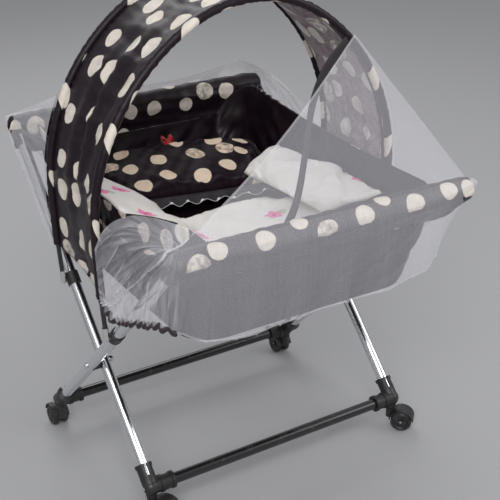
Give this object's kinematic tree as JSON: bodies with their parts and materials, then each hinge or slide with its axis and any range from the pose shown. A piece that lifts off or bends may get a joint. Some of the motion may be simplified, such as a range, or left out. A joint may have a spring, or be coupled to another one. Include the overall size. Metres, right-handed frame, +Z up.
{
  "type": "folding baby bed on casters",
  "caption": "Folding baby bed: crossed chrome tube frames on casters, a black satin basket with dotted rim, an arched hood band and white nets.",
  "frame": {"origin": "on the floor under the middle of the bed", "axes": "+X along the floor bars to the right of the front rail, +Y from the front rail to the rear rail, +Z up"},
  "size_m": [0.7778, 0.9048, 1.0675],
  "materials": {
    "chrome_tube": "polished chrome plate",
    "black_enamel": "satin black enamel",
    "bare_steel": "zinc-plated steel, hidden in the fabric",
    "bright_fastener": "bright zinc plate",
    "black_plastic": "moulded, satin",
    "caster_tread": "moulded nylon, scuffed tread",
    "hardboard": "raw pressed board",
    "black_satin": "satin weave with sheen",
    "dotted_satin": "black satin weave printed with cream dots",
    "white_quilting": "soft cotton with small pink flowers",
    "white_net": "sheer knitted net"
  },
  "bodies": {
    "frame_a": {"leg_a_left": "chrome_tube", "leg_a_right": "chrome_tube", "front_floor_bar": "black_enamel", "rear_top_rail": "bare_steel", "foot_elbow_front_left": "black_plastic", "foot_elbow_front_right": "black_plastic", "top_elbow_rear_left": "black_plastic", "top_elbow_rear_right": "black_plastic", "elbow_screws_a": "bright_fastener", "bow_clips_a": "black_plastic", "pivot_bolts": "bright_fastener", "pivot_nuts": "bright_fastener", "pivot_spacer_right": "black_plastic", "rear_rim_pad": "dotted_satin", "basket": "black_satin", "base_board": "hardboard", "mattress": "black_satin", "pillow": "dotted_satin", "quilt": "white_quilting", "rear_net": "white_net"},
    "frame_b": {"leg_b_left": "chrome_tube", "leg_b_right": "chrome_tube", "rear_floor_bar": "black_enamel", "front_top_rail": "bare_steel", "foot_elbow_rear_left": "black_plastic", "foot_elbow_rear_right": "black_plastic", "top_elbow_front_left": "black_plastic", "top_elbow_front_right": "black_plastic", "elbow_screws_b": "bright_fastener", "bow_clips_b": "black_plastic", "pivot_spacer_left": "black_plastic", "front_rim_pad": "dotted_satin", "front_net": "white_net"},
    "bow_rear": {"rear_bow": "bare_steel", "rear_bow_ferrules": "black_plastic", "hood_band": "dotted_satin"},
    "bow_front": {"front_bow": "bare_steel", "front_bow_ferrules": "black_plastic"},
    "caster_front_left": {"caster_fork_front_left": "black_plastic", "caster_stem_front_left": "bright_fastener", "caster_axle_front_left": "bright_fastener"},
    "wheels_front_left": {"caster_wheels_front_left": "caster_tread"},
    "caster_front_right": {"caster_fork_front_right": "black_plastic", "caster_stem_front_right": "bright_fastener", "caster_axle_front_right": "bright_fastener"},
    "wheels_front_right": {"caster_wheels_front_right": "caster_tread"},
    "caster_rear_left": {"caster_fork_rear_left": "black_plastic", "caster_stem_rear_left": "bright_fastener", "caster_axle_rear_left": "bright_fastener"},
    "wheels_rear_left": {"caster_wheels_rear_left": "caster_tread"},
    "caster_rear_right": {"caster_fork_rear_right": "black_plastic", "caster_stem_rear_right": "bright_fastener", "caster_axle_rear_right": "bright_fastener"},
    "wheels_rear_right": {"caster_wheels_rear_right": "caster_tread"}
  },
  "joints": [
    {"name": "fold", "type": "hinge", "parent": "frame_a", "child": "frame_b", "pos_m": [0, 0, 0.28335], "axis": [-1, 0, 0], "range_deg": [0, 60], "deforming": ["hood_band", "rear_net", "front_net"]},
    {"name": "rear_bow_swing", "type": "hinge", "parent": "frame_a", "child": "bow_rear", "pos_m": [0, 0.14, 0.42222], "axis": [-1, 0, 0], "range_deg": [0, 30]},
    {"name": "front_bow_swing", "type": "hinge", "parent": "frame_b", "child": "bow_front", "pos_m": [0, -0.14, 0.42222], "axis": [-1, 0, 0], "range_deg": [-30, 0]},
    {"name": "swivel_front_left", "type": "hinge", "parent": "frame_a", "child": "caster_front_left", "pos_m": [-0.3055, -0.205, 0.06], "axis": [0, 0, 1], "continuous": true},
    {"name": "roll_front_left", "type": "hinge", "parent": "caster_front_left", "child": "wheels_front_left", "pos_m": [-0.2857, -0.2248, 0.025], "axis": [0.7071, 0.7071, 0], "continuous": true},
    {"name": "swivel_front_right", "type": "hinge", "parent": "frame_a", "child": "caster_front_right", "pos_m": [0.3345, -0.205, 0.06], "axis": [0, 0, 1], "continuous": true},
    {"name": "roll_front_right", "type": "hinge", "parent": "caster_front_right", "child": "wheels_front_right", "pos_m": [0.3543, -0.2248, 0.025], "axis": [0.7071, 0.7071, 0], "continuous": true},
    {"name": "swivel_rear_left", "type": "hinge", "parent": "frame_b", "child": "caster_rear_left", "pos_m": [-0.3345, 0.205, 0.06], "axis": [0, 0, 1], "continuous": true},
    {"name": "roll_rear_left", "type": "hinge", "parent": "caster_rear_left", "child": "wheels_rear_left", "pos_m": [-0.3345, 0.233, 0.025], "axis": [-1, 0, 0], "continuous": true},
    {"name": "swivel_rear_right", "type": "hinge", "parent": "frame_b", "child": "caster_rear_right", "pos_m": [0.3055, 0.205, 0.06], "axis": [0, 0, 1], "continuous": true},
    {"name": "roll_rear_right", "type": "hinge", "parent": "caster_rear_right", "child": "wheels_rear_right", "pos_m": [0.3055, 0.233, 0.025], "axis": [-1, 0, 0], "continuous": true}
  ],
  "couplings": [
    {"joint": "rear_bow_swing", "follows": "fold", "ratio": 0.5},
    {"joint": "front_bow_swing", "follows": "fold", "ratio": -0.5}
  ]
}
